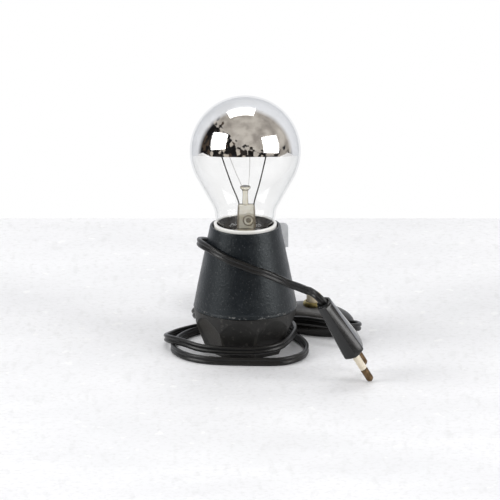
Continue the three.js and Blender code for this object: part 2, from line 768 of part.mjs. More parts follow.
function makePin(name, side, frame) {
  const place = (side * pinSpacing) / 2;
  const sleeveLow = -pinLength + gap;
  const sleeveHigh = -pinLength + pinSleeveLength;
  const coreRadius = pinRadius - pinNeck;
  const pin = turned(
    [
      [0, -pinLength - pinRoot],
      [pinRadius, -pinLength - pinRoot],
      [pinRadius, -pinLength - 1.5],
      [coreRadius, -pinLength - 1.5],
      [coreRadius, sleeveHigh + gap],
      [pinRadius, sleeveHigh + gap],
      [pinRadius, -1],
      [pinRadius - 0.5, -0.2],
      [pinRadius - 1.2, 0],
      [0, 0],
    ],
    roundSmall,
  );
  add("plug_pin_" + name, pin.translate(0, place, 0), 0x8a6a3c, 0.35, 0.9, frame);
  const sleeve = ring(pinRadius, coreRadius + gap, sleeveLow, sleeveHigh, roundSmall);
  add("pin_sleeve_" + name, sleeve.translate(0, place, 0), 0xe9ddc4, 0.45, 0, frame);
}

makeFoot();
makeCordSleeve();
const stack = makeClamping();
makeCasing();
makeTab();
makeLampholder(stack);
makeGlass();
makeMirror();
makeCap();
makeStem();
makeWires();
makeCords();
makeSwitch();
makePlug();

export default lamp;
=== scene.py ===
import math
from contextlib import contextmanager

import bmesh
import bpy
from mathutils import Matrix, Vector, noise


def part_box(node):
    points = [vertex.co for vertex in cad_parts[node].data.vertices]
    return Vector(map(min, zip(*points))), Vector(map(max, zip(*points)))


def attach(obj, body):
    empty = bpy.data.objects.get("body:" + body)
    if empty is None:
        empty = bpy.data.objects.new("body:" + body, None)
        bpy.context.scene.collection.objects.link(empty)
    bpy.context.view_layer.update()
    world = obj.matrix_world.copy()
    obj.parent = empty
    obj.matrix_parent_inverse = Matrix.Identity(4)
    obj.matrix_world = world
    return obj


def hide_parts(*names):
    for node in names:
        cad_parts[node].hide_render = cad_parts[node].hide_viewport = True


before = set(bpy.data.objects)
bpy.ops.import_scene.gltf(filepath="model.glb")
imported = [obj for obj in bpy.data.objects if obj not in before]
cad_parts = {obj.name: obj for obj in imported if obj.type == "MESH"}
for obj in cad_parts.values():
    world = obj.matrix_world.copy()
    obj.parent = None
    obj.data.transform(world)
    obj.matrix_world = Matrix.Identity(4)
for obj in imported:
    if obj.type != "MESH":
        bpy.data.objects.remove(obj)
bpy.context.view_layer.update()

MM = 0.001
scene = bpy.context.scene
UP = Vector((0, 0, 1))
ROUND = 180  # segments round the large turned pieces


def corners(node):
    low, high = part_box(node)
    return Vector(low), Vector(high)


def width_of(node):
    low, high = corners(node)
    return (high.x - low.x) / 2


foot_high = corners("foot")[1]
casing_low, casing_high = corners("casing")
holder_low, holder_high = corners("lampholder_body")
glass_high = corners("bulb_glass")[1]
coil_low, coil_high = corners("cord_coil")
lower_low, lower_high = corners("switch_lower_shell")
upper_low, upper_high = corners("switch_upper_shell")
push_low, push_high = corners("push_button")
cap_low, cap_high = corners("screw_cap")

# ---- sizes that the looks add to the frame, in metres ----
BULB_RADIUS = 30 * MM
BULB_CENTRE = glass_high.z - BULB_RADIUS
CONE_SLOPE = math.radians(28.4)
GLASS_WALL = 0.9 * MM
NECK_RADIUS = 16.4 * MM
THROAT_RADIUS = 14.6 * MM
MIRROR_SIDE = 109.3 * MM
MIRROR_TILT = math.radians(13.7)
CASING_TOP_RADIUS = 19.1 * MM
CASING_RADIUS = width_of("casing")
FACETS = 8
FACET_APOTHEM = 19.6 * MM
FACET_SLOPE = math.radians(20)
FACET_TURN = math.radians(-8.6)
SWITCH_CENTRE = (lower_low + lower_high) / 2
SWITCH_TURN = math.radians(-28)
SWITCH_LENGTH = 23.5 * MM  # half
SWITCH_WIDTH = 13.5 * MM  # half
PINCH_SHIFT = 0.55 * MM
PINCH_TOP = corners("stem")[0].z + 18.2 * MM
VENT_SHIFT = 1.7 * MM
VENT_HEIGHT = 73 * MM
CORE_RADIUS = 1.17 * MM
CORE_OFFSET = 1.16 * MM
CORD_WIDTH = 2 * (CORE_RADIUS + CORE_OFFSET)

BLEND = 0.35, 0.65  # where a noise goes from one colour to the other
GRAIN = 0.3, 0.7  # where a noise goes from least to most rough


# ---- materials ----
class Tree:
    """Short ways to add nodes to a tree. Noise is taken at self.place."""

    def __init__(self, tree, place):
        self.nodes, self.links = tree.nodes, tree.links
        self.place = self.add("TexCoord").outputs[place]

    def feed(self, socket, value):
        """Sets a socket to a number or a colour, or links another node's output to it."""
        if isinstance(value, tuple) and socket.type == "RGBA" and len(value) == 3:
            socket.default_value = (*value, 1)
        elif isinstance(value, (int, float, tuple)):
            socket.default_value = value
        else:
            self.links.new(value, socket)

    def add(self, kind, **inputs):
        node = self.nodes.new("ShaderNode" + kind)
        for name, value in inputs.items():
            self.feed(node.inputs[name.replace("_", " ")], value)
        return node

    def noise(self, scale, detail=4, stretch=(1, 1, 1), roughness=0.55):
        spot = self.add("Mapping", Vector=self.place, Scale=stretch).outputs["Vector"]
        node = self.add("TexNoise", Vector=spot, Scale=scale, Detail=detail, Roughness=roughness)
        return node.outputs["Fac"]

    def spread(self, value, low, high, start=0.0, end=1.0):
        node = self.add("MapRange", Value=value, From_Min=low, From_Max=high, To_Min=start, To_Max=end)
        return node.outputs["Result"]

    def spots(self, scale, detail, low, high, stretch=(1, 1, 1)):
        return self.spread(self.noise(scale, detail, stretch), low, high)

    def math(self, operation, *values):
        node = self.add("Math")
        node.operation = operation
        for socket, value in zip(node.inputs, values):
            self.feed(socket, value)
        return node.outputs["Value"]

    def blend(self, factor, first, second):
        node = self.add("Mix")
        node.data_type = "RGBA"
        for name, value in (("Factor", factor), ("A", first), ("B", second)):
            self.feed(node.inputs[name], value)
        return node.outputs["Result"]

    def ramp(self, value, stops, interpolation="LINEAR"):
        node = self.add("ValToRGB", Fac=value)
        node.color_ramp.interpolation = interpolation
        elements = node.color_ramp.elements
        for i, (position, colour) in enumerate(stops):
            stop = elements[i] if i < 2 else elements.new(position)
            stop.position, stop.color = position, (*colour, 1)
        return node.outputs["Color"]

    def mix(self, share, first, second):
        node = self.add("MixShader", Fac=share)
        self.links.new(first, node.inputs[1])
        self.links.new(second, node.inputs[2])
        return node.outputs["Shader"]


class Finish(Tree):
    """A Principled material and short ways to drive it with noise in the piece's own coordinates."""

    def __init__(self, name):
        self.material = bpy.data.materials.new(name)
        self.material.use_nodes = True
        super().__init__(self.material.node_tree, "Object")
        self.shader = self.nodes["Principled BSDF"]
        self.output = self.nodes["Material Output"]

    def set(self, **values):
        for name, value in values.items():
            self.feed(self.shader.inputs[name.replace("_", " ")], value)
        return self

    def axis(self, name="Z"):
        return self.add("SeparateXYZ", Vector=self.place).outputs[name]

    def worn(self, low, high):
        return self.spread(self.add("NewGeometry").outputs["Pointiness"], low, high)

    def patches(self, mask, first, second, ends=BLEND):
        return self.blend(self.spread(mask, *ends), first, second)

    def over(self, base, mask, share, colour):
        """The base with a colour laid over it, by a share of the mask."""
        return self.blend(self.math("MULTIPLY", mask, share), base, colour)

    def rough(self, mask, least, most, ends=GRAIN):
        return self.set(Roughness=self.spread(mask, *ends, least, most))

    def bump(self, value, depth, strength=1.0):
        node = self.add("Bump", Height=value, Distance=depth, Strength=strength)
        previous = self.shader.inputs["Normal"]
        if previous.is_linked:
            self.links.new(previous.links[0].from_socket, node.inputs["Normal"])
        self.links.new(node.outputs["Normal"], previous)
        return self


def mottled(name, first, second, patch, rough, grain, depth, metal=0.0):
    """A finish of two near colours in soft patches, with a fine grain."""
    finish = Finish(name)
    finish.set(Base_Color=finish.patches(finish.noise(patch), first, second), Metallic=metal)
    fine = finish.noise(grain, detail=3)
    return finish.rough(fine, *rough).bump(fine, depth * MM).material


def metal_finish(name, first, second, rough, scale=220):
    finish = Finish(name)
    finish.set(Base_Color=finish.patches(finish.noise(scale, detail=5), first, second), Metallic=1.0)
    fine = finish.noise(scale * 6, detail=4)
    return finish.rough(fine, *rough).bump(fine, 0.012 * MM).material


def cream_finish(name, first, second, dirt):
    finish = Finish(name)
    soft = finish.noise(300, detail=5)
    stain = finish.spots(900, 5, 0.55, 0.68)
    finish.set(Base_Color=finish.over(finish.patches(soft, first, second), stain, 0.3, dirt))
    return finish.rough(soft, 0.3, 0.45).bump(finish.noise(1500, detail=2), 0.01 * MM).material


def casing_finish():
    """Black enamel with fine specks, and chips along the seam."""
    finish = Finish("casing_black")
    soft = finish.noise(60)
    base = finish.patches(soft, (0.002, 0.0036, 0.0058), (0.0036, 0.006, 0.009))
    base = finish.over(base, finish.spots(1300, 2, 0.62, 0.7), 0.35, (0.13, 0.135, 0.14))  # specks
    seam = finish.math("COMPARE", finish.axis(), casing_low.z + 0.7 * MM, 0.75 * MM)
    chips = finish.spots(420, 5, 0.57, 0.63)
    base = finish.over(base, finish.math("MULTIPLY", chips, seam), 0.75, (0.16, 0.16, 0.155))
    dull = finish.spread(finish.noise(70, detail=6, stretch=(1, 1, 3)), 0.35, 0.7, 0.32, 0.42)
    grain = finish.spread(finish.noise(900, detail=3), *GRAIN, -0.03, 0.05)
    finish.set(Base_Color=base, Roughness=finish.math("ADD", dull, grain))
    finish.bump(finish.noise(650, detail=4), 0.16 * MM).bump(soft, 0.12 * MM, 0.4)
    return finish.set(Specular_IOR_Level=0.42, Specular_Tint=(0.91, 0.98, 1.0)).material


def foot_finish():
    finish = Finish("foot_black")
    soft = finish.noise(90, detail=6)
    base = finish.patches(soft, (0.0035, 0.0033, 0.0028), (0.007, 0.0065, 0.0055), (0.35, 0.7))
    base = finish.over(base, finish.worn(0.515, 0.56), 0.3, (0.09, 0.085, 0.075))
    base = finish.over(base, finish.spots(500, 6, 0.58, 0.68), 0.16, (0.2, 0.19, 0.17))  # dust
    grain = finish.noise(1100, detail=4)
    finish.rough(grain, 0.38, 0.52).bump(grain, 0.05 * MM)
    return finish.set(Base_Color=base, Specular_IOR_Level=0.42).material


def cord_finish():
    finish = Finish("cord_black")
    base = finish.patches(finish.noise(150), (0.0025, 0.0025, 0.0028), (0.0055, 0.0055, 0.0052))
    dust = finish.spots(900, 5, 0.6, 0.7)
    grain = finish.noise(1300, detail=3)
    finish.rough(grain, 0.26, 0.4).bump(grain, 0.012 * MM)
    base = finish.over(base, dust, 0.12, (0.15, 0.145, 0.13))
    return finish.set(Base_Color=base, Specular_IOR_Level=0.42).material


def plug_finish():
    finish = Finish("plug_black")
    base = finish.patches(finish.noise(120), (0.0018, 0.002, 0.0026), (0.0035, 0.004, 0.0045))
    base = finish.over(base, finish.worn(0.53, 0.6), 0.25, (0.1, 0.1, 0.1))
    scratch = finish.noise(260, detail=6, stretch=(1, 1, 6))
    finish.rough(scratch, 0.15, 0.24, (0.3, 0.75)).bump(finish.noise(1400, detail=2), 0.004 * MM)
    return finish.set(Base_Color=base, Specular_IOR_Level=0.5).material


def porcelain_finish():
    """White glaze outside and over the rim, with painted shade: the bore below the rim is coloured near
    black.
    """
    finish = Finish("porcelain")
    soft = finish.noise(80)
    base = finish.patches(soft, (0.86, 0.85, 0.8), (0.92, 0.91, 0.88))
    # painted shade: inside the bore, below the rim, the glaze is coloured near black where it lies in shadow
    squares = [finish.math("POWER", finish.axis(name), 2.0) for name in "XY"]
    bore = finish.math("LESS_THAN", finish.math("ADD", *squares), (15.75 * MM) ** 2)
    below = finish.math("LESS_THAN", finish.axis(), holder_high.z - 0.5 * MM)
    base = finish.blend(finish.math("MULTIPLY", bore, below), base, (0.03, 0.027, 0.024))
    grime = finish.spots(700, 5, 0.62, 0.7)
    finish.rough(soft, 0.1, 0.2).bump(soft, 0.06 * MM, 0.3)
    base = finish.over(base, grime, 0.25, (0.42, 0.34, 0.22))
    return finish.set(Base_Color=base, Coat_Weight=0.4, Coat_Roughness=0.06).material


def thin_glass():
    """Thin clear glass: it lets light straight through, darker towards its rim, and mirrors by Fresnel."""
    finish = Finish("clear_glass")
    facing = finish.add("LayerWeight", Blend=0.08).outputs["Facing"]
    shade = finish.blend(facing, (0.999, 0.999, 0.999), (0.8, 0.81, 0.815))
    smear = finish.spread(finish.noise(55, detail=5), 0.45, 0.75, 1.0, 0.975)
    scaled = finish.add("VectorMath")
    scaled.operation = "SCALE"
    finish.feed(scaled.inputs[0], shade)
    finish.feed(scaled.inputs["Scale"], smear)
    clear = finish.add("BsdfTransparent", Color=scaled.outputs["Vector"]).outputs["BSDF"]
    gloss = finish.add("BsdfGlossy", Roughness=0.02).outputs["BSDF"]
    outside = finish.math("SUBTRACT", 1.0, finish.add("NewGeometry").outputs["Backfacing"])
    mirrored = finish.math("MULTIPLY", finish.add("Fresnel", IOR=1.45).outputs["Fac"], outside)
    finish.nodes.remove(finish.shader)
    finish.feed(finish.output.inputs["Surface"], finish.mix(mirrored, clear, gloss))
    return finish.material


def silver_finish():
    finish = Finish("silvering")
    base = finish.patches(finish.noise(70, detail=5), (0.9, 0.89, 0.875), (0.8, 0.785, 0.76), (0.4, 0.7))
    spots = finish.spots(480, 4, 0.68, 0.74)
    finish.rough(finish.noise(200, detail=5), 0.03, 0.085, (0.45, 0.7))
    finish.bump(finish.noise(38, detail=1), 0.05 * MM, 0.5)
    return finish.set(Base_Color=finish.over(base, spots, 0.3, (0.4, 0.37, 0.33)), Metallic=1.0).material


def stem_finish():
    """Warm glass with painted shade: dark along its outlines, along the sides of the pinch, in the vent and
    round it.
    """
    finish = Finish("stem_glass")
    soft = finish.noise(240, detail=4)
    base = finish.patches(soft, (0.95, 0.92, 0.8), (0.86, 0.78, 0.58))
    # painted shade: the glass is darkened towards its outlines by facing, along the pinch's edges, in the
    # vent hole and round the vent
    facing = finish.add("LayerWeight", Blend=0.4).outputs["Facing"]
    rim = finish.spread(facing, 0.2, 0.6)
    ripple = finish.math("MULTIPLY_ADD", finish.noise(300, detail=3), 0.9 * MM, -0.45 * MM)
    aside = finish.math("ADD", finish.math("SUBTRACT", finish.axis("X"), PINCH_SHIFT), ripple)
    side_lines = finish.spread(finish.math("ABSOLUTE", aside), 3.6 * MM, 4.3 * MM)
    across = finish.math("SUBTRACT", finish.axis("X"), VENT_SHIFT)
    above = finish.math("SUBTRACT", finish.axis(), VENT_HEIGHT)
    squares = [finish.math("POWER", part, 2.0) for part in (across, above)]
    away = finish.math("ADD", finish.math("SQRT", finish.math("ADD", *squares)), ripple)
    hole = finish.spread(away, 1.2 * MM, 1.5 * MM, 1.0, 0.0)
    ring = finish.math("COMPARE", away, 2.75 * MM, 0.4 * MM)
    marks = finish.math("MAXIMUM", side_lines, finish.math("MAXIMUM", hole, ring))
    marks = finish.math("MULTIPLY", marks, finish.math("LESS_THAN", finish.axis(), PINCH_TOP))
    shade = finish.math("MAXIMUM", rim, finish.math("MULTIPLY", marks, 0.85))
    alpha = finish.math("MAXIMUM", finish.spread(facing, 0.0, 0.6, 0.5, 1.0), marks)
    finish.set(Base_Color=finish.blend(shade, base, (0.08, 0.055, 0.03)), Alpha=alpha)
    return finish.rough(soft, 0.05, 0.12).bump(soft, 0.25 * MM, 0.8).material


FINISHES = {
    "casing_black": casing_finish(),
    "foot_black": foot_finish(),
    "cord_black": cord_finish(),
    "plug_black": plug_finish(),
    "porcelain": porcelain_finish(),
    "clear_glass": thin_glass(),
    "silvering": silver_finish(),
    "stem_glass": stem_finish(),
}
for kind, finishes in (
    (mottled, {
        "felt": ((0.03, 0.029, 0.027), (0.06, 0.058, 0.052), 300, (0.85, 0.98), 2500, 0.15),
        "tab_steel": ((0.9, 0.91, 0.93), (0.82, 0.83, 0.85), 130, (0.35, 0.55), 900, 0.02, 0.15),
        "black_glass": ((0.01, 0.01, 0.014), (0.02, 0.018, 0.024), 200, (0.05, 0.15), 600, 0.02),
        "tie": ((0.012, 0.012, 0.012), (0.024, 0.023, 0.022), 250, (0.4, 0.6), 1500, 0.02),
        "switch_brown": ((0.004, 0.0034, 0.003), (0.0085, 0.007, 0.0055), 110, (0.26, 0.44), 800, 0.03),
        "phenolic": ((0.12, 0.07, 0.04), (0.18, 0.11, 0.06), 300, (0.45, 0.65), 1200, 0.03),
    }),
    (metal_finish, {
        "steel": ((0.5, 0.51, 0.52), (0.36, 0.36, 0.36), (0.28, 0.45)),
        "brass": ((0.62, 0.47, 0.2), (0.42, 0.31, 0.13), (0.25, 0.42)),
        "olive_brass": ((0.3, 0.25, 0.1), (0.16, 0.13, 0.06), (0.28, 0.5), 400),
        "cap_metal": ((0.72, 0.7, 0.66), (0.5, 0.48, 0.43), (0.22, 0.4), 180),
        "wire": ((0.03, 0.027, 0.025), (0.07, 0.065, 0.06), (0.3, 0.5), 500),
        "thin_wire": ((0.5, 0.49, 0.47), (0.36, 0.35, 0.33), (0.3, 0.5), 500),
        "pin_brass": ((0.1, 0.065, 0.035), (0.19, 0.125, 0.07), (0.28, 0.48), 500),
    }),
    (cream_finish, {
        "cream": ((0.78, 0.7, 0.55), (0.68, 0.58, 0.42), (0.34, 0.25, 0.14)),
        "cream_sleeve": ((0.78, 0.72, 0.6), (0.68, 0.6, 0.47), (0.4, 0.3, 0.18)),
    }),
):
    for name, facts in finishes.items():
        FINISHES[name] = kind(name, *facts)


# ---- mesh helpers ----
def linked(name, data):
    obj = bpy.data.objects.new(name, data)
    scene.collection.objects.link(obj)
    return obj


def shade_smooth(mesh):
    mesh.polygons.foreach_set("use_smooth", [True] * len(mesh.polygons))


def place(mesh, finish, nodes, body="lamp", smooth=True, sharp=None):
    """Puts a mesh in the scene as a piece of the object, riding on a body and standing for CAD nodes."""
    obj = linked(mesh.name, mesh)
    if smooth:
        shade_smooth(mesh)
    if sharp:
        mesh.set_sharp_from_angle(angle=math.radians(sharp))
    mesh.materials.append(FINISHES[finish])
    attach(obj, body)
    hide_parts(*nodes)
    return obj


@contextmanager
def edited(mesh):
    """Opens a mesh for editing and writes it back."""
    work = bmesh.new()
    work.from_mesh(mesh)
    yield work
    work.to_mesh(mesh)
    work.free()
    mesh.update()


def mesh_from(name, vertices, faces):
    mesh = bpy.data.meshes.new(name)
    mesh.from_pydata([tuple(v) for v in vertices], [], faces)
    mesh.update()
    return mesh


def solid_from(name, vertices, faces):
    """A closed mesh with its faces turned outwards."""
    mesh = mesh_from(name, vertices, faces)
    with edited(mesh) as work:
        bmesh.ops.recalc_face_normals(work, faces=work.faces)
    return mesh


def polar(radius, angle, height=0.0):
    return Vector((radius * math.cos(angle), radius * math.sin(angle), height))


def profile_mm(points, base=0.0):
    """(radius, height) pairs given in millimetres, with their heights counted from base."""
    return [(radius * MM, base + height * MM) for radius, height in points]


def dense(line, most):
    """The same line with points added so that no step is longer than most."""
    result = [Vector(line[0])]
    for before, after in zip(line, line[1:]):
        before, after = Vector(before), Vector(after)
        count = max(1, math.ceil((after - before).length / most))
        result += [before.lerp(after, (i + 1) / count) for i in range(count)]
    return result


def bend(start, corner, end, steps):
    """The points of a round corner from start to end."""
    shares = [i / steps for i in range(steps + 1)]
    return [start * (1 - t) ** 2 + corner * 2 * t * (1 - t) + end * t**2 for t in shares]


def rounded(points, radius, steps=4):
    """A line of (radius, height) pairs with its corners rounded; the ends stay."""
    line = [Vector(points[0])]
    for before, corner, after in zip(points, points[1:], points[2:]):
        corner = Vector(corner)
        back = Vector(before) - corner
        ahead = Vector(after) - corner
        reach = min(radius, back.length * 0.45, ahead.length * 0.45)
        line += bend(corner + back.normalized() * reach, corner, corner + ahead.normalized() * reach, steps)
    line.append(Vector(points[-1]))
    return line


def arc(centre, radius, start, end, steps):
    """Points of a round stretch of a profile, angles in degrees from outwards to up."""
    points = []
    for i in range(steps + 1):
        angle = math.radians(start + (end - start) * i / steps)
        points.append((radius * math.cos(angle), centre + radius * math.sin(angle)))
    return points


def lathe(name, profile, steps=ROUND, closed=False, shape=None):
    """A turned mesh about Z from (radius, height) pairs, which shape(angle, radius, height) may move."""
    vertices, rings = [], []
    for radius, height in profile:
        if radius < 1e-7:
            rings.append([len(vertices)] * steps)
            vertices.append(Vector((0, 0, height)))
            continue
        rings.append(list(range(len(vertices), len(vertices) + steps)))
        for i in range(steps):
            angle = 2 * math.pi * i / steps
            r, h = (radius, height) if shape is None else shape(angle, radius, height)
            vertices.append(polar(r, angle, h))
    faces = []
    pairs = list(zip(rings, rings[1:]))
    if closed:
        pairs.append((rings[-1], rings[0]))
    for lower, upper in pairs:
        for i in range(steps):
            j = (i + 1) % steps
            face = []
            for vertex in (lower[i], lower[j], upper[j], upper[i]):
                if vertex not in face:
                    face.append(vertex)
            if len(face) > 2:
                faces.append(face)
    return solid_from(name, vertices, faces)


def add_bevel(obj, width, segments=2, angle=30):
    bevel = obj.modifiers.new("edges", "BEVEL")
    bevel.width = width
    bevel.segments = segments
    bevel.limit_method = "ANGLE"
    bevel.angle_limit = math.radians(angle)
    bevel.harden_normals = True


def band(low, high, count):
    """The faces between two rings of count vertices, the first starting at low and the second at high."""
    return [[low + i, low + (i + 1) % count, high + (i + 1) % count, high + i] for i in range(count)]


def loft(name, rings):
    """A closed mesh through rings of equally many points, with flat ends."""
    count = len(rings[0])
    vertices = [vertex for ring in rings for vertex in ring]
    faces = []
    for start in range(0, len(vertices) - count, count):
        faces += band(start, start + count, count)
    faces.append(list(range(count))[::-1])
    faces.append(list(range(len(vertices) - count, len(vertices))))
    return solid_from(name, vertices, faces)


def between(first, second, start, end, t):
    return first * ((end - t) / (end - start)) + second * ((t - start) / (end - start))


def smooth_line(points, step):
    """Points at equal steps along a centripetal Catmull-Rom line through the given points."""
    knots = [Vector(p) for p in points]
    knots = [knots[0] * 2 - knots[1], *knots, knots[-1] * 2 - knots[-2]]
    fine = []
    for a, b, c, d in zip(knots, knots[1:], knots[2:], knots[3:]):
        t1 = math.sqrt((b - a).length)
        t2 = t1 + math.sqrt((c - b).length)
        t3 = t2 + math.sqrt((d - c).length)
        count = max(4, int((c - b).length / step * 3))
        for i in range(count):
            t = t1 + (t2 - t1) * i / count
            bc = between(b, c, t1, t2, t)
            abc = between(between(a, b, 0, t1, t), bc, 0, t2, t)
            bcd = between(bc, between(c, d, t2, t3, t), t1, t3, t)
            fine.append(between(abc, bcd, t1, t2, t))
    fine.append(knots[-2])
    line, travelled, due = [fine[0]], 0.0, step
    for before, after in zip(fine, fine[1:]):
        length = (after - before).length
        while travelled + length >= due:
            line.append(before.lerp(after, (due - travelled) / length))
            due += step
        travelled += length
    if (line[-1] - fine[-1]).length > step * 0.3:
        line.append(fine[-1])
    return line


def cord_frames(line):
    """The cord's direction and its wide direction, which is drawn gently to the vertical, at each point."""
    ends = [line[0], *line, line[-1]]
    along = [(after - before).normalized() for before, after in zip(ends, ends[2:])]
    wide = UP - along[0] * UP.dot(along[0])
    wide.normalize()
    frames = []
    for direction in along:
        wide = wide - direction * wide.dot(direction)
        wide.normalize()
        pull = UP - direction * UP.dot(direction)
        if pull.dot(wide) < 0:
            pull = -pull
        wide = (wide + pull * 0.12).normalized()
        frames.append(wide.copy())
    return along, frames


def cord_section():
    """The outline of two round cores side by side, joined by a thin web."""
    outline = []
    for side in (1, -1):
        for i in range(9):
            angle = math.radians(-128 + 32 * i)
            across = CORE_OFFSET + CORE_RADIUS * math.cos(angle)
            outline.append((side * across, side * CORE_RADIUS * math.sin(angle)))
        outline.append((0.0, side * 0.3 * MM))
    return outline


def sweep(name, line, section):
    rings = []
    for point, direction, wide in zip(line, *cord_frames(line)):
        thick = direction.cross(wide)
        rings.append([point + wide * u + thick * v for u, v in section])
    return loft(name, rings)


# ---- cords ----
LAMP_CORD_ROUTE = [
    (-21.3, 28.9, 14), (-25.7, 34.9, 11.6), (-28.2, 41.4, 7.4), (-26, 48.2, 4.2), (-19.6, 51.8, 2.8),
    (-9.6, 50.8, 2.4), (1.5, 46, 2.4), (12, 38.2, 2.4), (20.6, 27.6, 2.4), (26.4, 16, 2.4),
    (31.4, 4.4, 2.4), (33.4, -8, 2.4), (30.4, -22, 2.4), (20.6, -31.4, 2.4), (6.4, -32.6, 2.4),
    (-22, -29, 2.4), (-33, -21, 2.4), (-39.3, -7.6, 2.4), (-37.4, 7, 2.4), (-31, 20, 2.4),
    (-20.4, 28.9, 2.5), (8, 29.2, 6.8), (20.6, 20.8, 9.3), (26.8, 7.6, 9.9), (25.5, -6, 9.4),
    (18.8, -20, 7.6), (6, -26.4, 6.8), (-22.8, -20.6, 6.3), (-34, -11.4, 6.9), (-42.6, 0.6, 5.6),
    (-42, 13.4, 2.8), (-34.2, 24.4, 2.4), (-22, 32.4, 2.4), (8.4, 35.2, 4), (20.6, 27.6, 7.4),
    (31.6, 18.2, 10.4), (42, 10.8, 11.2), (52, 7, 10.4), (58.6, 9.2, 9), (62.2, 15, 7.8),
    (61.2, 21.2, 6.8), (57, 25.4, 6.2),
]
PLUG_CORD_START = [(18.4, 45.6, 6.2), (16.4, 46.7, 6.2), (10.8, 50.4, 4.8)]
PLUG_CORD_END = [
    (6.8, 49, 10), (3.6, 44.6, 12.6), (2, 39, 17), (1.6, 34.4, 23), (1, 31.2, 30),
    (-1.6, 28.8, 37.6), (-7, 26.4, 45), (-14, 22, 51.6), (-20.6, 14, 56.4), (-24.9, 4.6, 59.6),
    (-24.6, -4, 60.8), (-20, -12.4, 60.4), (-13.9, -19.3, 58.6), (-8.3, -22.6, 56.5), (-2.9, -24.3, 54.8),
    (4, -25.4, 52.3), (11, -28.2, 50.8), (18.4, -34.1, 49.4), (24.3, -40.8, 48.7), (29, -48.4, 49.2),
    (32.8, -56.4, 50), (35.5, -63.1, 51), (38.5, -66.6, 49.8),
]
CORD_STEP = 0.9 * MM
EXIT_DIRECTION = Vector((-0.593, 0.805, 0))
PLUG_AXIS = Vector((0.469, 0.279, -0.839)).normalized()
PLUG_TIP = Vector((66.3, -52.6, 2.66)) * MM
PIN_LENGTH = 19 * MM
PIN_SPACING = 17.5 * MM
PLUG_LENGTH = 33 * MM


def in_metres(route):
    return [Vector(point) * MM for point in route]


def coil_points():
    """Four turns, clockwise from above: two on the table, outer to inner, and two on top, inner to outer."""
    centre = ((coil_low + coil_high) / 2).xy.to_3d()
    outer = coil_high.y - centre.y - 1.25 * MM
    inner = outer - 2.45 * MM
    low = coil_low.z + CORD_WIDTH / 2
    high = low + CORD_WIDTH
    layers = [(outer, low), (inner, low), (inner, high), (outer, high)]
    start, total, ease, step = 278.0, 1408.0, 55.0, 16.0  # degrees
    span = total / len(layers)
    points = []
    turned = 0.0
    while turned <= total:
        index = min(int(turned / span), len(layers) - 1)
        share = min(1.0, (turned / span - index) * span / ease) if index else 1.0
        share = share * share * (3 - 2 * share)
        before, layer = layers[max(index - 1, 0)], layers[index]
        radius = before[0] + (layer[0] - before[0]) * share
        height = before[1] + (layer[1] - before[1]) * share
        points.append(centre + polar(radius, math.radians(start - turned), height))
        turned += step
    return points


def on_table(line):
    """Lifts the points that would press the cord into the table."""
    least = CORD_WIDTH / 2 + 0.03 * MM
    return [Vector((point.x, point.y, max(point.z, least))) for point in line]


def make_cords():
    section = cord_section()
    route = in_metres(LAMP_CORD_ROUTE)
    exit_point = route[0]
    line = on_table(smooth_line([exit_point - EXIT_DIRECTION * 8 * MM, *route], CORD_STEP))
    lamp_cord = place(sweep("lamp_cord_flex", line, section), "cord_black", ["lamp_cord"])
    route = [*in_metres(PLUG_CORD_START), *coil_points(), *in_metres(PLUG_CORD_END)]
    mouth = PLUG_TIP - PLUG_AXIS * (PIN_LENGTH + PLUG_LENGTH)
    line = on_table(smooth_line([*route, mouth, mouth + PLUG_AXIS * 6 * MM], CORD_STEP))
    nodes = ["plug_cord_start", "cord_coil", "plug_cord_end"]
    plug_cord = place(sweep("plug_cord_flex", line, section), "cord_black", nodes)


def make_strain_relief():
    """A tapered rubber sleeve with rings, along the cord's way out of the foot."""
    tip = (Vector(LAMP_CORD_ROUTE[0]) * MM).xy.length
    points = [(2.5, -20), (3.2, -20), (3.2, -10.4), (3.9, -10.2), (3.9, -9.2)]
    for i in range(5):
        height, radius = 1.6 * i - 8.6, 3.25 - 0.11 * i
        points += [(radius - 0.3, height - 0.35), (radius, height), (radius, height + 0.9)]
        points.append((radius - 0.3, height + 1.2))
    points += [(2.75, 0), (2.45, 0), (2.4, -20)]
    mesh = lathe("strain_relief", rounded(profile_mm(points, tip), 0.25 * MM, 2), 48)
    turn = UP.rotation_difference(EXIT_DIRECTION).to_matrix().to_4x4()
    mesh.transform(Matrix.Translation((0, 0, LAMP_CORD_ROUTE[0][2] * MM)) @ turn)
    place(mesh, "cord_black", ["cord_sleeve"])


# ---- foot and casing ----
def make_foot():
    """A turned foot with its sides planed to facets that end in arches."""
    top, belly = foot_high.z, width_of("foot")
    below = profile_mm([(0, 1.3), (17.3, 1.3), (17.3, 0), (22, 0)])
    sides = [(25.5 * MM, 8 * MM), (belly - 0.7 * MM, 15 * MM), (belly - 0.35 * MM, 21 * MM), (belly, top)]
    line = rounded(below, 0.2 * MM) + rounded([below[-1], *sides[:-1]], 6 * MM, 10)[1:]
    line += rounded([*sides[-2:], (0, top)], 0.35 * MM)[1:]
    mesh = lathe("foot_turned", line, ROUND)
    with edited(mesh) as work:
        for i in range(FACETS):
            angle = FACET_TURN + 2 * math.pi * i / FACETS
            out = Vector((math.sin(angle), -math.cos(angle), 0))
            normal = (out * math.cos(FACET_SLOPE) - UP * math.sin(FACET_SLOPE)).normalized()
            everything = [*work.verts, *work.edges, *work.faces]
            cut = bmesh.ops.bisect_plane(
                work, geom=everything, plane_co=out * FACET_APOTHEM, plane_no=normal,
                clear_outer=True, dist=1e-7,
            )
            edges = [e for e in cut["geom_cut"] if isinstance(e, bmesh.types.BMEdge)]
            bmesh.ops.contextual_create(work, geom=edges)
        bmesh.ops.recalc_face_normals(work, faces=work.faces)
    add_bevel(place(mesh, "foot_black", ["foot"], sharp=24), 0.35 * MM, 3, 8)


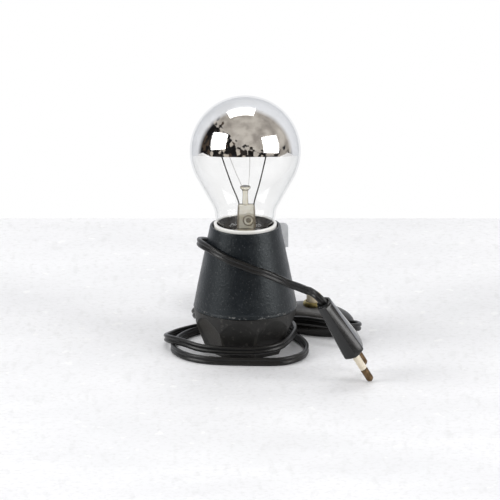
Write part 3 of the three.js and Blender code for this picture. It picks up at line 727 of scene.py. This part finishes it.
def make_casing():
    low, high = casing_low.z, casing_high.z
    wall = 1.3 * MM
    slope = (CASING_RADIUS - CASING_TOP_RADIUS) / (high - low)

    def skin(height):
        return CASING_RADIUS - (height - low) * slope

    lip = low + 1.1 * MM  # top of the thickened edge along the seam
    swell = 0.12 * MM
    outer = [
        (CASING_RADIUS - 0.5 * MM, low), (CASING_RADIUS, low), (skin(lip) + 0.02 * MM, lip),
        (skin(lip) - 0.3 * MM, lip + 0.25 * MM), (skin(low + 2.2 * MM) - 0.05 * MM, low + 2.4 * MM),
        (skin(low + 12 * MM) + swell, low + 12 * MM), (skin(low + 26 * MM) + swell, low + 26 * MM),
        (skin(high - 1.6 * MM), high - 1.6 * MM), (CASING_TOP_RADIUS, high),
        (CASING_TOP_RADIUS - wall, high), (CASING_TOP_RADIUS - wall, high - 1 * MM),
    ]
    inner = [(skin(low + 1.4 * MM) - wall, low + 1.4 * MM), *profile_mm([(17, 1.4), (17, 0)], low)]
    line = dense(rounded([*outer, *inner], 0.45 * MM), 1.5 * MM)
    place(lathe("casing_shell", line, ROUND, closed=True), "casing_black", ["casing"], sharp=50)


def make_holder():
    low, high = holder_low.z, holder_high.z
    outer = width_of("lampholder_body")
    bore, groove = outer - 1.7 * MM, outer - 0.25 * MM
    floor = low + 4.2 * MM
    profile = [
        (0, low), (outer - 1 * MM, low), (outer, low + 1 * MM), (outer, high - 3.4 * MM),
        (groove, high - 3.2 * MM), (groove, high - 2.6 * MM), (outer, high - 2.4 * MM),
        (outer, high), (bore, high), (bore, floor), (0, floor),
    ]
    mesh = lathe("porcelain_ring", rounded(profile, 0.55 * MM, 5), ROUND)
    place(mesh, "porcelain", ["lampholder_body"], sharp=50)


def round_corners(wide, tall, radius, steps):
    """The points of a box's round corners, right and left at the top, then left and right below."""
    points = []
    for side, level, start in ((1, 1, 0), (-1, 1, 90), (-1, -1, 180), (1, -1, 270)):
        for i in range(steps + 1):
            turn = polar(radius, math.radians(start + 90 * i / steps))
            points.append((side * (wide - radius) + turn.x, level * (tall - radius) + turn.y))
    return points


def make_tab():
    """A thin plate with two round corners, leaning back and a little dented."""
    low, high = corners("hanging_tab")
    thickness = 0.8 * MM
    tilt = math.atan2(high.y - low.y - thickness, high.z - low.z)
    wide = (high.x - low.x) / 2
    tall = (high.z - low.z) / 2 / math.cos(tilt)
    outline = [*round_corners(wide, tall, 3 * MM, 8)[:18], (-wide, -tall), (wide, -tall)]
    middle = (low + high) / 2
    rings = []
    for side in (-1, 1):
        ring = []
        for x, z in outline:
            dent = 0.12 * MM * noise.noise(Vector((x * 120, z * 120, 0)))
            y = side * thickness / 2 + dent - z * math.tan(tilt)
            ring.append(middle + Vector((x, y, z * math.cos(tilt))))
        rings.append(ring)
    plate = place(loft("tab_plate", rings), "tab_steel", ["hanging_tab"], smooth=False)
    add_bevel(plate, 0.14 * MM)


# ---- bulb ----
def neck_profile(inset):
    """The bulb's outline from its seat in the cap to its crown, moved in by inset."""
    tangent_radius = BULB_RADIUS * math.cos(CONE_SLOPE)
    tangent_height = BULB_CENTRE - BULB_RADIUS * math.sin(CONE_SLOPE)
    cone_low = 80.5 * MM
    cone_radius = tangent_radius - (tangent_height - cone_low) * math.tan(CONE_SLOPE)
    knots = [
        (12.4 * MM, cap_high.z - 3 * MM), (12.4 * MM, cap_high.z + 0.5 * MM),
        (THROAT_RADIUS, cap_high.z + 3.5 * MM), (THROAT_RADIUS, holder_high.z),
        (NECK_RADIUS, holder_high.z + 3.4 * MM), (NECK_RADIUS, 77.5 * MM),
        (cone_radius, cone_low), (tangent_radius, tangent_height),
    ]
    line = rounded([(r - inset, h) for r, h in knots], 2.6 * MM, 8)
    start = -math.degrees(CONE_SLOPE)
    return line[:-1] + [Vector(p) for p in arc(BULB_CENTRE, BULB_RADIUS - inset, start, 90, 60)]


def make_bulb():
    outer = dense(neck_profile(0), 1.2 * MM)
    outer[-1] = Vector((0, outer[-1].y))
    inner = dense(neck_profile(GLASS_WALL), 1.2 * MM)[::-1]
    inner[0] = Vector((0, inner[0].y))
    mesh = lathe("bulb_envelope", [*outer, *inner], 128, closed=True)
    place(mesh, "clear_glass", ["bulb_glass"], "bulb")


def make_silvering():
    """The mirror coat inside the crown. Its lower edge leans back and wavers a little."""
    outer = BULB_RADIUS - GLASS_WALL - 0.2 * MM
    across, down, top = 144, 72, math.pi / 2 - 0.004
    size = across * (down + 1)
    vertices, faces = [], []
    for radius in (outer, outer - 0.35 * MM):
        for j in range(down + 1):
            for i in range(across):
                azimuth = 2 * math.pi * i / across
                spot = polar(1, azimuth, 0.3)
                waver = 0.22 * MM * noise.noise(spot * 3) + 0.1 * MM * noise.noise(spot * 9)
                edge = MIRROR_SIDE - outer * math.sin(azimuth) * math.tan(MIRROR_TILT) + waver
                lowest = math.asin((edge - BULB_CENTRE) / outer)
                rise = lowest + (top - lowest) * j / down
                height = BULB_CENTRE + radius * math.sin(rise)
                vertices.append(polar(radius * math.cos(rise), azimuth, height))
    for base in (0, size):
        for start in range(base, base + size - across, across):
            faces += band(start, start + across, across)
        faces.append(list(range(base + size - across, base + size)))
    faces += band(0, size, across)
    mesh = solid_from("crown_mirror", vertices, faces)
    place(mesh, "silvering", ["mirror_crown"], "bulb", sharp=40)


def make_stem():
    """The glass mount: flare, flattened pinch with a vent in it, rod and button, as one fused glass."""
    low, high = corners("stem")
    flare = [(10.6, 0), (11.2, 0), (11, 0.8), (6.9, 2.8), (4.4, 4.4), (2.2, 4.6), (5.6, 2.6), (10.6, 0)]
    mesh = lathe("glass_stem", rounded(profile_mm(flare, low.z), 0.8 * MM), 64)
    wide, deep, tall, taper = 10.5 * MM, 3.6 * MM, 14 * MM, 0.88
    with edited(mesh) as work:
        pinch = bmesh.ops.create_cube(work, size=1.0)["verts"]
        for vertex in pinch:
            x, y, z = vertex.co
            share = 1.0 if z < 0 else taper
            vertex.co = Vector((x * wide * share + PINCH_SHIFT, y * deep, z * tall + low.z + 11 * MM))
        edges = list({e for v in pinch for e in v.link_edges})
        bmesh.ops.bevel(work, geom=edges, offset=1.3 * MM, segments=5, affect="EDGES", profile=0.5)
    stem = place(mesh, "stem_glass", ["stem"], "bulb")
    ring = profile_mm([(1.5, -2.1), (2.9, -2.1), (2.9, 2.1), (1.5, 2.1), (1.5, -2.1)])
    vent = lathe("vent", rounded(ring, 0.7 * MM), 40)
    vent.transform(Matrix.Translation((VENT_SHIFT, 0, VENT_HEIGHT)) @ Matrix.Rotation(math.pi / 2, 4, "X"))
    join_into(stem, vent)
    rod = profile_mm([(0, 17.4), (1.7, 17.4), (1.5, 21.4)], low.z)
    rod += profile_mm([(1.4, -4.4), (1.7, -2.3), (2.9, -1.1), (2.9, -0.4), (2.3, 0), (0, 0)], high.z)
    join_into(stem, lathe("rod", rounded(rod, 0.4 * MM), 40))


def join_into(target, part):
    """Adds a mesh to a piece that it is fused with."""
    with edited(target.data) as work:
        work.from_mesh(part)
    bpy.data.meshes.remove(part)
    shade_smooth(target.data)


def make_cap():
    """The screw cap, with a real helical thread pressed in its thin shell."""
    low, high = cap_low.z, cap_high.z
    pitch, depth, run_out, core = 3.6 * MM, 0.75 * MM, 1.2 * MM, 12.4 * MM
    thread_low, thread_high = low + 1.8 * MM, high - 3.4 * MM

    def thread(angle, radius, height):
        if radius < core - 0.01 * MM:
            return radius, height
        fade = max(0, min(1, (height - thread_low) / run_out, (thread_high - height) / run_out))
        wave = 0.5 + 0.5 * math.cos(2 * math.pi * (height / pitch - angle / (2 * math.pi)))
        return radius + depth * wave * fade, height

    profile = profile_mm([(10.4, 0), (11.4, 0), (12.4, 1.2)], low)
    steps = 90
    profile += [(core, low + 1.2 * MM + (high - 3.2 * MM - low) * i / steps) for i in range(1, steps)]
    profile += profile_mm([(13.3, -1.5), (13.3, 0), (12.75, 0), (12.75, -3.4), (11.6, -4)], high)
    profile.append((11.1 * MM, low + 1 * MM))
    mesh = lathe("threaded_cap", profile, 96, closed=True, shape=thread)
    place(mesh, "cap_metal", ["screw_cap"], "bulb", sharp=50)


def make_wires():
    """The two stout leads and the two thin supports, each slightly bowed, from the pinch to the filament."""
    inset = 0.35 * MM  # from a wire's box to its middle line
    for kind, radius, finish, root in (
        ("lead", 0.36 * MM, "wire", 4.5 * MM), ("support", 0.13 * MM, "thin_wire", 1.4 * MM),
    ):
        ring = [polar(radius, math.pi * i / 6).xy for i in range(12)]
        for hand, side in (("left", -1), ("right", 1)):
            name = f"{kind}_wire_{hand}"
            low, high = corners(name)
            foot_x, top_x = (low.x, high.x) if side > 0 else (high.x, low.x)
            foot_x, top_x = foot_x + inset * side, top_x - inset * side
            back = high.y if kind == "support" else 1 * MM
            line = [Vector((foot_x, 0, low.z - root)), Vector((foot_x, 0, low.z))]
            for share in (0.35, 0.7, 0.92, 1.0):
                x = foot_x + (top_x - foot_x) * share + math.sin(share * math.pi) * 0.3 * MM * side
                line.append(Vector((x, share * back, low.z + (high.z - low.z) * share)))
            mesh = sweep("fine_" + name, smooth_line(line, 0.5 * MM), ring)
            place(mesh, finish, [name], "bulb")


# ---- switch ----
def switch_place():
    spot = Vector((SWITCH_CENTRE.x, SWITCH_CENTRE.y, 0))
    return Matrix.Translation(spot) @ Matrix.Rotation(SWITCH_TURN, 4, "Z")


def switch_part(mesh, finish, nodes, body="lamp", sharp=None):
    mesh.transform(switch_place())
    place(mesh, finish, nodes, body, sharp=sharp)


def shell_mesh(name, levels, steps=128):
    """An oval shell from (share of its length, share of its width, height) levels, closed at both ends."""
    bluntness = 2.25
    rings = []
    for length, width, height in levels:
        ring = []
        for i in range(steps):
            angle = 2 * math.pi * i / steps
            x, y = math.cos(angle), math.sin(angle)
            blunt = (abs(x) ** bluntness + abs(y) ** bluntness) ** (-1 / bluntness)
            x, y = x * blunt * length * SWITCH_LENGTH, y * blunt * width * SWITCH_WIDTH
            ring.append(Vector((x, y, height)))
        rings.append(ring)
    return loft(name, rings)


def make_switch():
    split = lower_high.z
    lower = [
        (0.86, 0.84, 0), (0.9, 0.88, 0.2 * MM), (0.95, 0.945, 1.6 * MM), (0.985, 0.98, 3.4 * MM),
        (0.994, 0.99, split - 0.4 * MM), (0.985, 0.98, split),
    ]
    mesh = shell_mesh("switch_base", lower)
    switch_part(mesh, "switch_brown", ["switch_lower_shell"], sharp=40)
    base, top = upper_low.z, upper_high.z
    upper = [(0.985, 0.98, base), (0.996, 0.992, base + 0.4 * MM)]
    for i in range(1, 25):
        rise = (math.pi / 2) * i / 25
        height = base + (top - base) * math.sin(rise)
        upper.append((math.cos(rise) ** 0.92, math.cos(rise) ** 0.9, height))
    mesh = shell_mesh("switch_cover", upper)
    switch_part(mesh, "switch_brown", ["switch_upper_shell"], sharp=40)
    collar = [(4.3, -0.9), (6, -1.2), (6, 0.4), (5.2, 1.6), (4.3, 1.6), (4.3, -0.9)]
    mesh = lathe("switch_collar", rounded(profile_mm(collar, top), 0.4 * MM), 64)
    switch_part(mesh, "olive_brass", ["button_collar"])
    low, high = push_low.z, push_high.z
    bore = profile_mm([(0, 3.2), (2.9, 3.2), (2.9, 0)], low)
    push = [(4 * MM, low), *profile_mm([(4, -0.9), (3.1, 0), (1.5, -0.15), (0, -0.25)], high)]
    mesh = lathe("push_cap", bore + rounded(push, 0.7 * MM, 6), 64)
    switch_part(mesh, "cream", ["push_button"], "button")


# ---- plug ----
def plug_place():
    across = Vector((-0.17, 0.96, 0.225))
    across = (across - PLUG_AXIS * across.dot(PLUG_AXIS)).normalized()
    thick = across.cross(PLUG_AXIS)
    turn = Matrix((thick, across, PLUG_AXIS)).transposed().to_4x4()
    return Matrix.Translation(PLUG_TIP) @ turn


def plug_outline(width, thickness, ridge, steps=5):
    """The plug's flat section: a hexagon with its corners rounded, as points round its middle."""
    half = [(0, -width), (thickness, -ridge), (thickness, ridge)]
    hexagon = [Vector(corner) for corner in half] + [-Vector(corner) for corner in half]
    cut, swelling = 0.1, 0.035  # shares of a side
    points = []
    for i, corner in enumerate(hexagon):
        side = hexagon[(i + 1) % 6] - corner
        points += bend(corner + (hexagon[i - 1] - corner) * cut, corner, corner + side * cut, steps)
        swell = Vector((side.y, -side.x)).normalized() * side.length * swelling
        for share in (0.25, 0.5, 0.75):
            along = cut + (1 - 2 * cut) * share
            points.append(corner + side * along + swell * math.sin(math.pi * share))
    return points


def plug_body():
    """A flat moulding that widens from the cord to the pins, with a round mouth for the cord."""
    rear = -PIN_LENGTH - PLUG_LENGTH
    rings = []
    for share in [0.0, 0.006, 0.02, 0.045, *[0.1 * i for i in range(1, 10)], 0.965, 0.985, 0.995, 1.0]:
        from_end = min(share, 1 - share) * PLUG_LENGTH
        inset = max(0.0, 1.0 * MM - from_end) ** 2 / MM * 0.7
        width, thickness, ridge = (6.5 + 6 * share) * MM, (3.9 + 2 * share) * MM, (3 + 6 * share) * MM
        points = plug_outline(width - inset, thickness - inset, ridge - inset * 0.6)
        rings.append([Vector((p.x, p.y, rear + PLUG_LENGTH * share)) for p in points])
    mouth = []
    for radius, height in profile_mm([(2.45, 6), (2.5, 0.5), (2.75, 0)], rear):
        mouth.append([polar(radius, math.atan2(p.y, p.x), height) for p in rings[0]])
    return loft("plug_moulding", mouth + rings)


def make_plug():
    mesh = plug_body()
    mesh.transform(plug_place())
    plug = place(mesh, "plug_black", ["plug_body"], sharp=35)
    weighted = plug.modifiers.new("normals", "WEIGHTED_NORMAL")
    weighted.keep_sharp = True
    root = -PIN_LENGTH
    pin = profile_mm([(0, -4), (1.2, -4), (1.2, 10.3), (2, 10.3)], root)
    pin += profile_mm([(2, -1.3), (0.9, 0), (0, 0)])
    sleeve = profile_mm([(1.5, -0.6), (2, -0.6), (2, 10), (1.5, 10), (1.5, -0.6)], root)
    for name, side in (("near", -1), ("far", 1)):
        for kind, line, finish, node in (
            ("pin_", dense(rounded(pin, 0.5 * MM), 0.8 * MM), "pin_brass", "plug_pin_"),
            ("sleeve_", rounded(sleeve, 0.2 * MM), "cream_sleeve", "pin_sleeve_"),
        ):
            mesh = lathe(kind + name, line, 48)
            mesh.transform(plug_place() @ Matrix.Translation((0, side * PIN_SPACING / 2, 0)))
            place(mesh, finish, [node + name])


def make_coil_band():
    """A strap with round corners, round the coil's turns at the back."""
    low, high = corners("coil_tie")
    middle = (low + high) / 2
    half = 2.5 * MM
    outline = round_corners((high.y - low.y) / 2, (high.z - low.z) / 2, 1.3 * MM, 6)
    vertices = []
    for inset in (0.0, 0.45 * MM):
        for x in (-half, half):
            for y, z in outline:
                share = 1 - inset / math.hypot(y, z)
                vertices.append(middle + Vector((x, y * share, z * share)))
    count = len(outline)
    faces = []
    for a, b in ((0, 1), (3, 2), (2, 0), (1, 3)):
        faces += band(a * count, b * count, count)
    mesh = solid_from("coil_band", vertices, faces)
    add_bevel(place(mesh, "tie", ["coil_tie"], smooth=False), 0.12 * MM)


# ---- what keeps its CAD shape ----
KEPT = {
    "felt": ["foot_pad"],
    "steel": [
        "clamp_plate", "foot_nut", "plate_nut", "holder_screw_left", "holder_screw_right", "tab_rivet",
        "button_spring",
    ],
    "brass": [
        "nipple", "threaded_sleeve", "centre_contact", "side_contact", "switch_contact_left",
        "switch_contact_right",
    ],
    "cap_metal": ["cap_contact"],
    "black_glass": ["cap_insulator"],
    "wire": ["filament"],
    "phenolic": ["switch_block"],
}


def dress_kept():
    for finish, names in KEPT.items():
        for name in names:
            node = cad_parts[name]
            for slot in node.material_slots:
                slot.link = "OBJECT"
                slot.material = FINISHES[finish]


# ---- stage ----
AIM = Vector((2.55, 0, 55.8)) * MM
DISTANCE = 5.0
ELEVATION = math.radians(16.5)
TABLE_FRONT, TABLE_BACK, TABLE_HALF = -0.335, 0.252, 1.1
LIGHT_DISTANCE = 1.9
FRAME_WIDTH = 0.2715  # what the picture takes in at the lamp
SENSOR = 36.0


def make_floor():
    edges = ((-1, TABLE_FRONT), (1, TABLE_FRONT), (1, TABLE_BACK), (-1, TABLE_BACK))
    mesh = mesh_from("table_top", [(side * TABLE_HALF, y, 0) for side, y in edges], [[0, 1, 2, 3]])
    finish = Finish("pale_table")
    soft = finish.noise(9, detail=9, stretch=(1, 1.7, 1))
    base = finish.patches(soft, (0.85, 0.85, 0.864), (0.918, 0.918, 0.934))
    flecks = finish.spots(340, 8, 0.5, 0.68)
    base = finish.over(base, flecks, 0.35, (0.68, 0.675, 0.67))
    streaks = finish.spots(70, 9, 0.56, 0.68, (2.6, 0.7, 1))
    base = finish.over(base, streaks, 0.3, (0.7, 0.7, 0.7))
    marks = finish.spots(120, 8, 0.64, 0.67, (1, 0.8, 1))
    finish.set(Base_Color=finish.over(base, marks, 0.7, (0.96, 0.96, 0.96)))
    finish.rough(soft, 0.5, 0.7).bump(finish.noise(300, detail=6), 0.2 * MM, 0.6)
    mesh.materials.append(finish.material)
    linked("table_top", mesh)


def make_world():
    """White behind the object, and for reflections a bright back, a dim room in front and dark below."""
    world = bpy.data.worlds.new("studio")
    scene.world = world
    world.use_nodes = True
    tree = Tree(world.node_tree, "Generated")
    apart = tree.add("SeparateXYZ", Vector=tree.place).outputs
    walls = tree.ramp(
        tree.noise(2.4, detail=3, roughness=0.5), ((0.38, (0.36, 0.33, 0.3)), (0.62, (0.62, 0.58, 0.53)))
    )
    cells = tree.add("TexVoronoi", Vector=tree.place, Scale=8.5).outputs["Color"]
    cells = tree.add("SeparateColor", Color=cells).outputs
    clutter = tree.ramp(cells["Red"], (
        (0.0, (0.012, 0.011, 0.011)), (0.45, (0.075, 0.055, 0.042)), (0.6, (0.02, 0.02, 0.024)),
        (0.75, (0.55, 0.5, 0.44)), (0.83, (0.03, 0.026, 0.024)),
    ), "CONSTANT")
    edge = tree.math("MULTIPLY_ADD", apart["X"], 0.46, apart["Z"])
    ragged = tree.math("MULTIPLY_ADD", cells["Green"], -0.42, edge)
    room = tree.blend(tree.spread(ragged, 0.13, 0.16), clutter, walls)
    room = tree.blend(tree.spread(apart["Y"], 0.34, 0.56), room, (0.93, 0.95, 1))
    room = tree.add("Background", Color=room).outputs["Background"]
    soft = tree.add("Background", Color=(1, 1, 1), Strength=0.46).outputs["Background"]
    plain = tree.nodes["Background"]
    tree.feed(plain.inputs["Color"], (1, 1, 1))
    ray = tree.add("LightPath").outputs
    unseen = tree.mix(ray["Is Glossy Ray"], soft, room)
    whole = tree.mix(ray["Is Camera Ray"], unseen, plain.outputs["Background"])
    tree.feed(tree.nodes["World Output"].inputs["Surface"], whole)


def add_softbox(name, direction, width, height, radiance, roll=0.0):
    """An area light that faces the lamp, its long side level before the roll; sizes as seen at one metre."""
    light = bpy.data.lights.new(name, "AREA")
    light.shape = "RECTANGLE"
    light.size, light.size_y = width * LIGHT_DISTANCE, height * LIGHT_DISTANCE
    light.energy = radiance * light.size * light.size_y * math.pi
    obj = linked(name, light)
    toward = Vector(direction).normalized()
    obj.location = Vector((0, 0, 0.1)) + toward * LIGHT_DISTANCE
    side = UP.cross(toward) if toward.z < 0.8 else Vector((1, 0, 0))
    side = (side - toward * side.dot(toward)).normalized()
    turn = Matrix((side, toward.cross(side), toward)).transposed()
    obj.rotation_euler = (turn @ Matrix.Rotation(math.radians(roll), 3, "Z")).to_euler()


def add_camera():
    camera = linked("camera", bpy.data.cameras.new("camera"))
    away = Vector((0, -math.cos(ELEVATION), math.sin(ELEVATION)))
    camera.location = AIM + away * DISTANCE
    camera.rotation_euler = away.to_track_quat("Z", "Y").to_euler()
    camera.data.sensor_width = SENSOR
    camera.data.lens = SENSOR * DISTANCE / FRAME_WIDTH
    scene.camera = camera


def make_stage():
    make_floor()
    make_world()
    add_softbox("softbox_left", (-0.829, -0.335, 0.42), 0.64, 0.54, 5.6, 20)
    add_softbox("softbox_right", (0.811, -0.425, 0.34), 0.66, 0.56, 5.0, -14)
    add_softbox("softbox_top", (-0.1, 0.36, 0.92), 0.7, 0.42, 2.8)
    add_camera()
    scene.view_settings.view_transform = "Standard"


make_stage()
make_foot()
make_casing()
make_holder()
make_tab()
make_bulb()
make_silvering()
make_stem()
make_wires()
make_cap()
make_switch()
make_plug()
make_coil_band()
make_strain_relief()
make_cords()
dress_kept()
